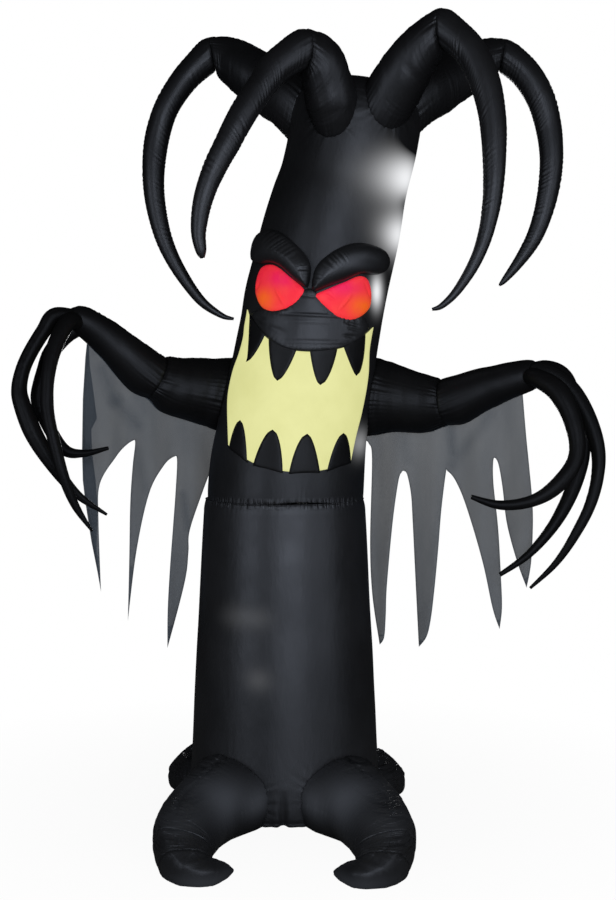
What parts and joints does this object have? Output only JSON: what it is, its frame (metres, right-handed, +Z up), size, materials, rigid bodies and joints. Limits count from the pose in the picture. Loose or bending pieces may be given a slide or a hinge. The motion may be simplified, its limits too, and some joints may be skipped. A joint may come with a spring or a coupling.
{
  "type": "inflatable monster",
  "caption": "Tall free-standing yard inflatable shaped like a leaning haunted tree, with clawed branches, arms, ragged sheer drapes, root feet and a jagged angry face",
  "frame": {"origin": "the centre of the trunk's flat base, on the ground", "axes": "+Z up; the face looks along -Y; +X is the viewer's right; the top of the trunk leans to +X"},
  "size_m": [2.5998, 1.7618, 3.6024],
  "materials": {
    "black_satin": "thin black satin-coated nylon, lightly shiny, gathered at the seams",
    "yellow_cloth": "pale yellow thin nylon, matt",
    "red_cloth": "red to pink and orange printed nylon, lightly shiny",
    "sheer_black": "sheer black gauze that looks grey against the light"
  },
  "bodies": {
    "root": {"arm_left_fore": "black_satin", "arm_left_upper": "black_satin", "arm_right_fore": "black_satin", "arm_right_upper": "black_satin", "brow_left": "black_satin", "brow_right": "black_satin", "drape_left": "sheer_black", "drape_right": "sheer_black", "eye_left": "red_cloth", "eye_right": "red_cloth", "finger_left_1": "black_satin", "finger_left_2": "black_satin", "finger_left_3": "black_satin", "finger_right_1": "black_satin", "finger_right_2": "black_satin", "finger_right_3": "black_satin", "foot_back_left_root": "black_satin", "foot_back_left_toe": "black_satin", "foot_back_right_root": "black_satin", "foot_back_right_toe": "black_satin", "foot_front_left_band": "black_satin", "foot_front_left_gore": "black_satin", "foot_front_left_root": "black_satin", "foot_front_left_toe": "black_satin", "foot_front_right_band": "black_satin", "foot_front_right_gore": "black_satin", "foot_front_right_root": "black_satin", "foot_front_right_toe": "black_satin", "horn_back_left_claw": "black_satin", "horn_back_left_stem": "black_satin", "horn_back_right_claw": "black_satin", "horn_back_right_stem": "black_satin", "horn_front_left_claw": "black_satin", "horn_front_left_stem": "black_satin", "horn_front_right_claw": "black_satin", "horn_front_right_stem": "black_satin", "mouth": "yellow_cloth", "muzzle": "black_satin", "tooth_lower_1": "black_satin", "tooth_lower_2": "black_satin", "tooth_lower_3": "black_satin", "tooth_lower_4": "black_satin", "tooth_upper_1": "black_satin", "tooth_upper_2": "black_satin", "tooth_upper_3": "black_satin", "tooth_upper_4": "black_satin", "trunk_lower": "black_satin", "trunk_upper": "black_satin"}
  },
  "joints": []
}
